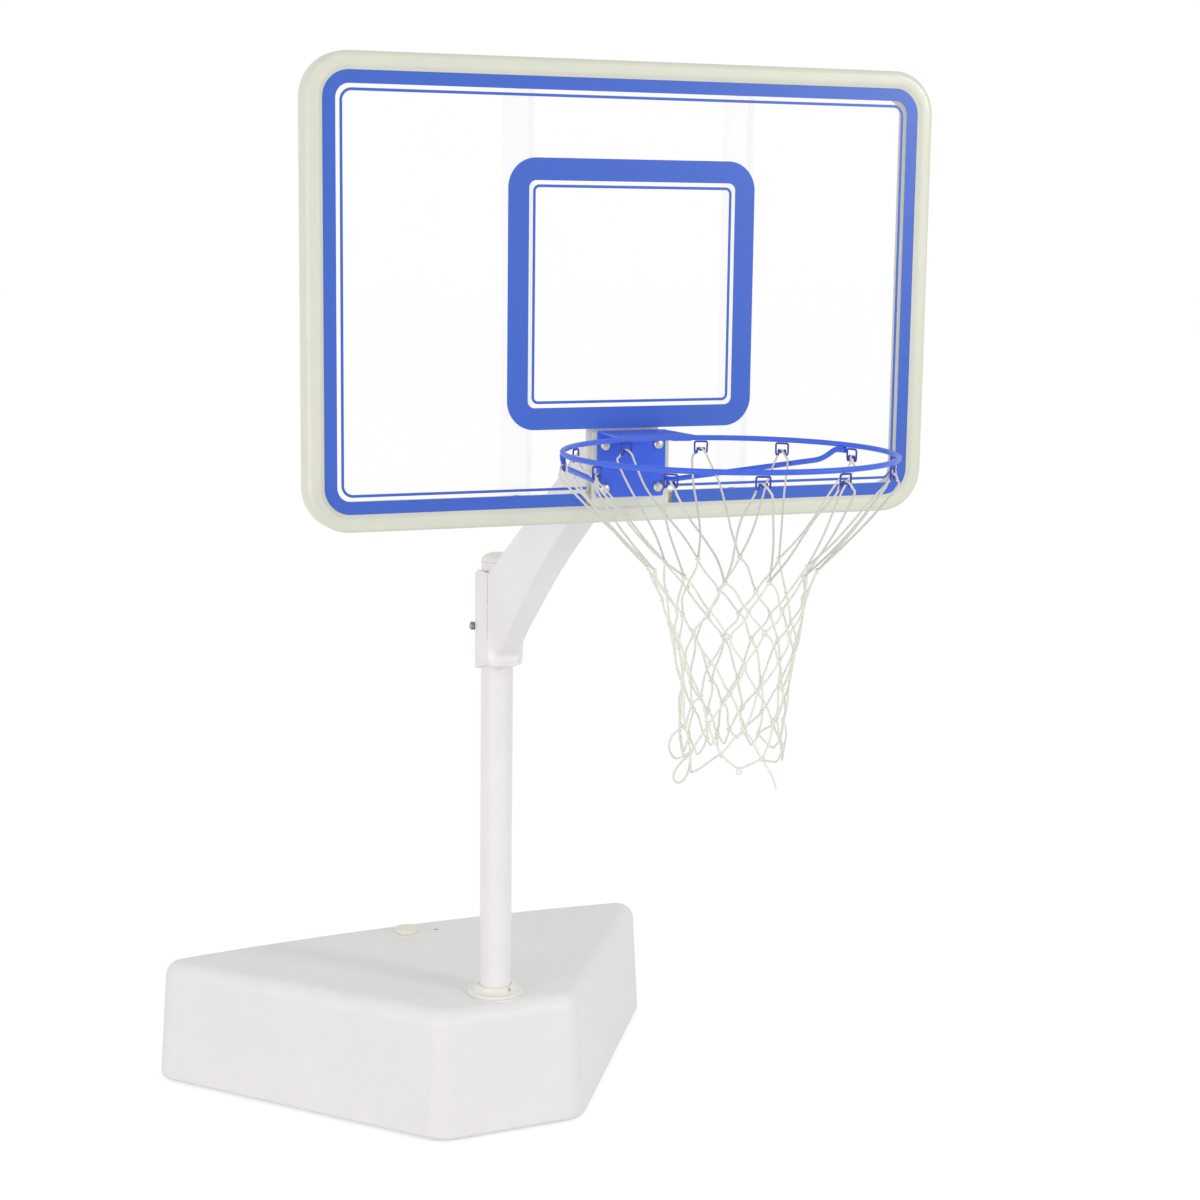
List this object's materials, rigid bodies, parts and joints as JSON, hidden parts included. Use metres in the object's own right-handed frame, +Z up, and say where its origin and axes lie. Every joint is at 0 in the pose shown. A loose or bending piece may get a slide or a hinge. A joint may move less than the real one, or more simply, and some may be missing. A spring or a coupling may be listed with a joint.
{
  "type": "poolside basketball hoop",
  "caption": "Free-standing poolside basketball hoop: clear framed backboard and ring with net, on an arm that slides and turns on a pole in a water-filled base.",
  "frame": {"origin": "where the pole's axis meets the floor, in the middle of the pad under the pole's socket", "axes": "+Z up along the pole; the backboard faces -Y, out over the water; +X to the right as seen from the water"},
  "size_m": [1.0377, 1.684, 1.871],
  "materials": {
    "base_plastic": "rotomoulded, fine orange-peel",
    "water": "clear liquid",
    "cap_plastic": "smooth moulded",
    "frame_plastic": "satin moulded, cream",
    "clear_sheet": "clear sheet with printed blue bands",
    "strut_plastic": "milky, translucent, moulded",
    "white_paint": "white powder coat",
    "blue_paint": "blue powder coat",
    "steel": "stainless",
    "dark_steel": "dull grey",
    "seal_rubber": "matt",
    "net_cord": "twisted off-white cord"
  },
  "bodies": {
    "base": {"base_tank": "base_plastic", "water_ballast": "water", "pole_collar": "base_plastic", "collar_lock_screw": "dark_steel"},
    "seal": {"cap_seal": "seal_rubber"},
    "cap": {"fill_cap": "base_plastic"},
    "pole": {"pole": "white_paint", "pole_top_cap": "cap_plastic", "pole_foot_plug": "cap_plastic"},
    "hoop": {"neck_arm": "white_paint", "neck_head_plate": "white_paint", "pole_sleeve": "white_paint", "sleeve_saddle": "white_paint", "clamp_bolt": "dark_steel", "clamp_jam_nut": "dark_steel", "backboard_frame": "frame_plastic", "clear_panel": "clear_sheet", "strut_left": "strut_plastic", "strut_right": "strut_plastic", "strut_screw_1": "steel", "strut_screw_2": "steel", "strut_screw_3": "steel", "strut_screw_4": "steel", "rim_plate": "blue_paint", "rim_ring": "blue_paint", "rim_brace_left": "blue_paint", "rim_brace_right": "blue_paint", "net_hook_1": "blue_paint", "net_hook_2": "blue_paint", "net_hook_3": "blue_paint", "net_hook_4": "blue_paint", "net_hook_5": "blue_paint", "net_hook_6": "blue_paint", "net_hook_7": "blue_paint", "net_hook_8": "blue_paint", "net_hook_9": "blue_paint", "net_hook_10": "blue_paint", "net_hook_11": "blue_paint", "net_hook_12": "blue_paint", "rim_bolt_1": "steel", "rim_bolt_2": "steel", "rim_bolt_3": "steel", "rim_bolt_4": "steel", "rim_washer_1": "steel", "rim_washer_2": "steel", "rim_washer_3": "steel", "rim_washer_4": "steel", "rim_nut_1": "steel", "rim_nut_2": "steel", "rim_nut_3": "steel", "rim_nut_4": "steel", "net": "net_cord"}
  },
  "joints": [
    {"name": "hoop_swivel", "type": "hinge", "parent": "base", "child": "pole", "pos_m": [0, 0, 0.25], "axis": [0, 0, 1], "range_deg": [-90, 90]},
    {"name": "hoop_height", "type": "slide", "parent": "pole", "child": "hoop", "axis": [0, 0, 1], "range_m": [-0.45, 0]},
    {"name": "cap_lift", "type": "slide", "parent": "base", "child": "seal", "axis": [0, 0, 1], "range_m": [0, 0.009]},
    {"name": "cap_turn", "type": "hinge", "parent": "seal", "child": "cap", "pos_m": [-0.03526, 0.41568, 0.24], "axis": [0, 0, 1], "range_deg": [0, 1080]}
  ],
  "couplings": [
    {"joint": "cap_turn", "follows": "cap_lift", "rad_per_m": 2094.4}
  ]
}
